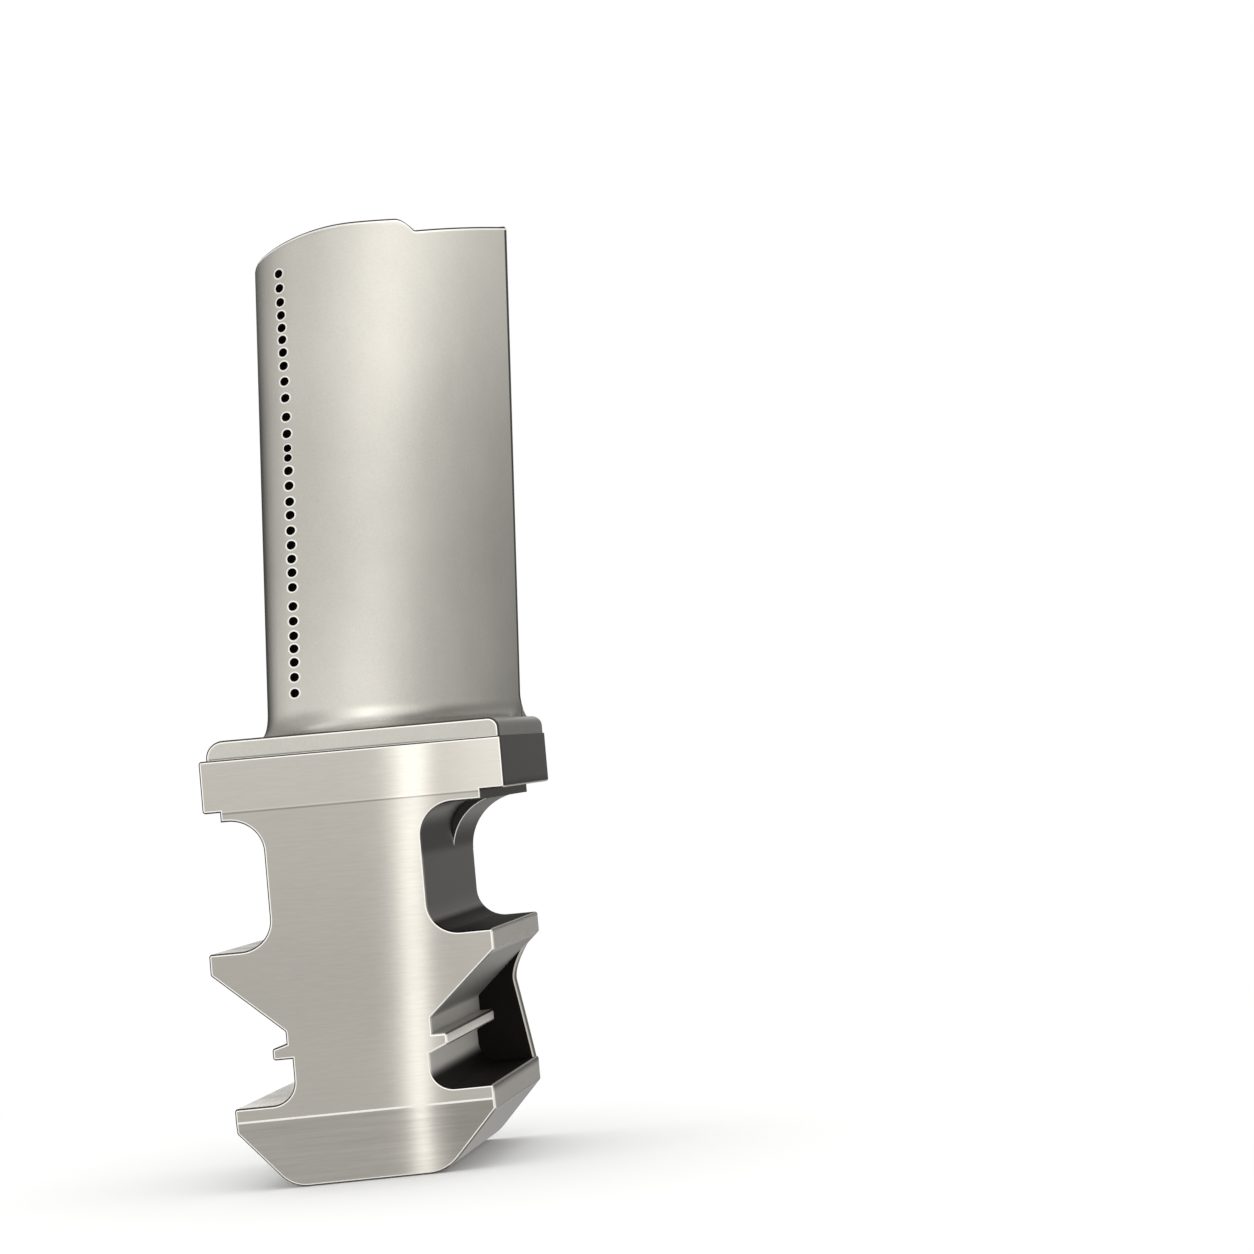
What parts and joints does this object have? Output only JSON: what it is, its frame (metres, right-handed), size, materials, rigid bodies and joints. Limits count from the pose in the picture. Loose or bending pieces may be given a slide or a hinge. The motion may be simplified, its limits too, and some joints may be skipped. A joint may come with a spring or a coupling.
{
  "type": "turbine blade",
  "caption": "Cast turbine blade with a skewed fir-tree root, ground platform, curved twisted aerofoil, stepped tip and a row of film-cooling holes behind the leading edge.",
  "frame": {"origin": "middle of the flat foot under the fir-tree root, on the plane that the blade stands on", "axes": "+Z from root to tip, +Y along the fir tree in the direction in which it slides into the disc, +X from the leading to the trailing edge's side"},
  "size_m": [0.0519, 0.0519, 0.1515],
  "materials": {
    "blade_metal": "nickel alloy: satin, lightly peened aerofoil; fine ground root and platform"
  },
  "bodies": {
    "root": {"turbine_blade": "blade_metal"}
  },
  "joints": []
}
